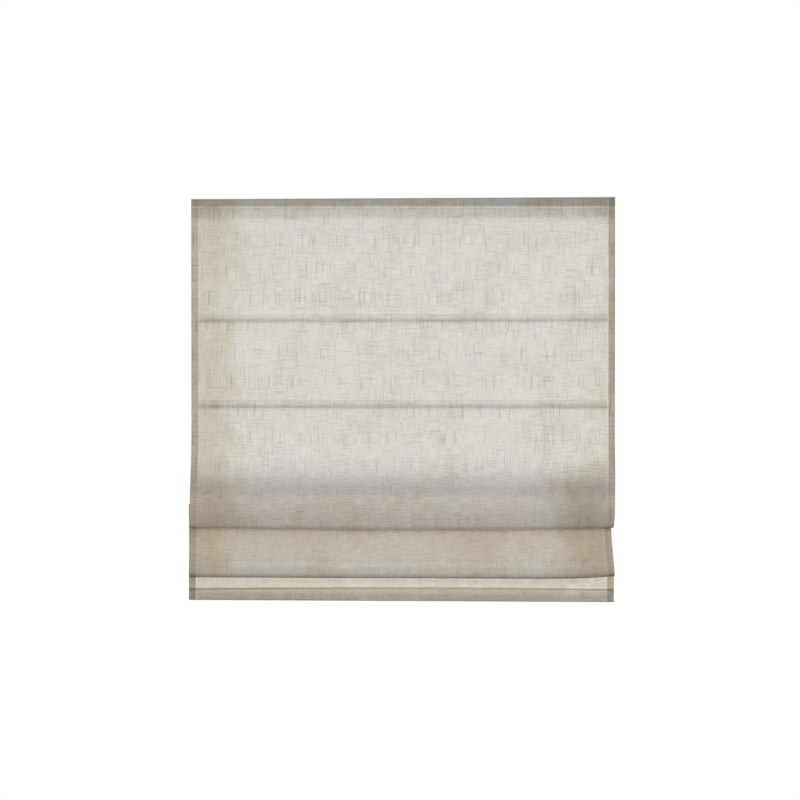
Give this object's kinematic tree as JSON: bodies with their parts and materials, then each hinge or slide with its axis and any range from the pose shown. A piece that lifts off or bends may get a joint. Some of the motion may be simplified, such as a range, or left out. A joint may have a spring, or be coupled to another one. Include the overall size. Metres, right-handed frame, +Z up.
{
  "type": "roman blind",
  "caption": "Linen roman blind, part drawn up into soft folds, on a slim wall-mounted headrail with a cordless spring lift.",
  "frame": {"origin": "centre of the wall screw pattern, on the wall's face", "axes": "+Z up, +Y into the wall along the screws, +X to the right seen from the room; the front faces -Y"},
  "size_m": [1, 0.0788, 0.9534],
  "materials": {
    "rail_white": "white satin powder coat on an aluminium extrusion",
    "cap_plastic": "white moulded plastic",
    "zinc_steel": "zinc-plated pressed steel",
    "lever_plastic": "pale grey moulded plastic",
    "hook_tape": "woven tape with short hooks",
    "loop_tape": "brushed loop tape",
    "shaft_steel": "drawn six-sided bar",
    "spool_plastic": "white acetal",
    "cradle_plastic": "grey moulded plastic",
    "spring_steel": "blued spring steel band",
    "motor_steel": "zinc-plated pressed steel",
    "linen": "natural linen, plain weave with slubs",
    "pocket_tape": "thin woven linen tape",
    "rod_plastic": "white glass-fibre rod",
    "ring_plastic": "clear-white moulded plastic",
    "lift_cord": "braided white cord",
    "bar_aluminium": "mill-finish flat bar with round edges",
    "bar_plastic": "moulded plastic"
  },
  "bodies": {
    "root": {"headrail": "rail_white", "end_cap_left": "cap_plastic", "end_cap_right": "cap_plastic", "bracket_left": "zinc_steel", "bracket_right": "zinc_steel", "bracket_pivot_left": "zinc_steel", "bracket_pivot_right": "zinc_steel", "hook_tape": "hook_tape", "loop_tape": "loop_tape", "spool_cradle_left": "cradle_plastic", "spool_cradle_centre": "cradle_plastic", "spool_cradle_right": "cradle_plastic", "motor_frame": "motor_steel", "spring_band": "spring_steel", "fabric": "linen", "rod_pocket_1": "pocket_tape", "rod_pocket_2": "pocket_tape", "rod_pocket_3": "pocket_tape", "rod_1": "rod_plastic", "rod_2": "rod_plastic", "rod_3": "rod_plastic", "ring_set_2": "ring_plastic", "lift_cord_left": "lift_cord", "lift_cord_centre": "lift_cord", "lift_cord_right": "lift_cord"},
    "stack": {"rod_pocket_4": "pocket_tape", "rod_pocket_5": "pocket_tape", "rod_pocket_6": "pocket_tape", "rod_4": "rod_plastic", "rod_5": "rod_plastic", "rod_6": "rod_plastic", "ring_set_4": "ring_plastic", "ring_set_6": "ring_plastic", "cord_stop_left": "ring_plastic", "cord_stop_centre": "ring_plastic", "cord_stop_right": "ring_plastic", "bottom_bar": "bar_aluminium", "bar_cap_left": "bar_plastic", "bar_cap_right": "bar_plastic"},
    "shaft": {"lift_shaft": "shaft_steel", "cord_spool_left": "spool_plastic", "cord_spool_centre": "spool_plastic", "cord_spool_right": "spool_plastic", "cord_wrap_left": "lift_cord", "cord_wrap_centre": "lift_cord", "cord_wrap_right": "lift_cord", "spring_output_drum": "spool_plastic"},
    "storage": {"spring_storage_drum": "spool_plastic", "spring_coil": "spring_steel"},
    "lever_left": {"bracket_lever_left": "lever_plastic"},
    "lever_right": {"bracket_lever_right": "lever_plastic"}
  },
  "joints": [
    {"name": "stack_lift", "type": "slide", "parent": "root", "child": "stack", "axis": [0, 0, 1], "range_m": [-0.15, 0.11], "deforming": ["fabric", "lift_cord_left", "lift_cord_centre", "lift_cord_right"]},
    {"name": "shaft_turn", "type": "hinge", "parent": "root", "child": "shaft", "pos_m": [0, -0.022, 0.002], "axis": [1, 0, 0], "range_deg": [-690, 930]},
    {"name": "storage_turn", "type": "hinge", "parent": "root", "child": "storage", "pos_m": [0.2, -0.0295, -0.0115], "axis": [1, 0, 0], "range_deg": [-1010, 740]},
    {"name": "lever_left_turn", "type": "hinge", "parent": "root", "child": "lever_left", "pos_m": [-0.31, -0.024, 0.0185], "axis": [0, 0, 1], "range_deg": [-90, 0]},
    {"name": "lever_right_turn", "type": "hinge", "parent": "root", "child": "lever_right", "pos_m": [0.31, -0.024, 0.0185], "axis": [0, 0, 1], "range_deg": [-90, 0]}
  ],
  "couplings": [
    {"joint": "shaft_turn", "follows": "stack_lift", "rad_per_m": -107.5},
    {"joint": "storage_turn", "follows": "stack_lift", "rad_per_m": 116.5}
  ]
}
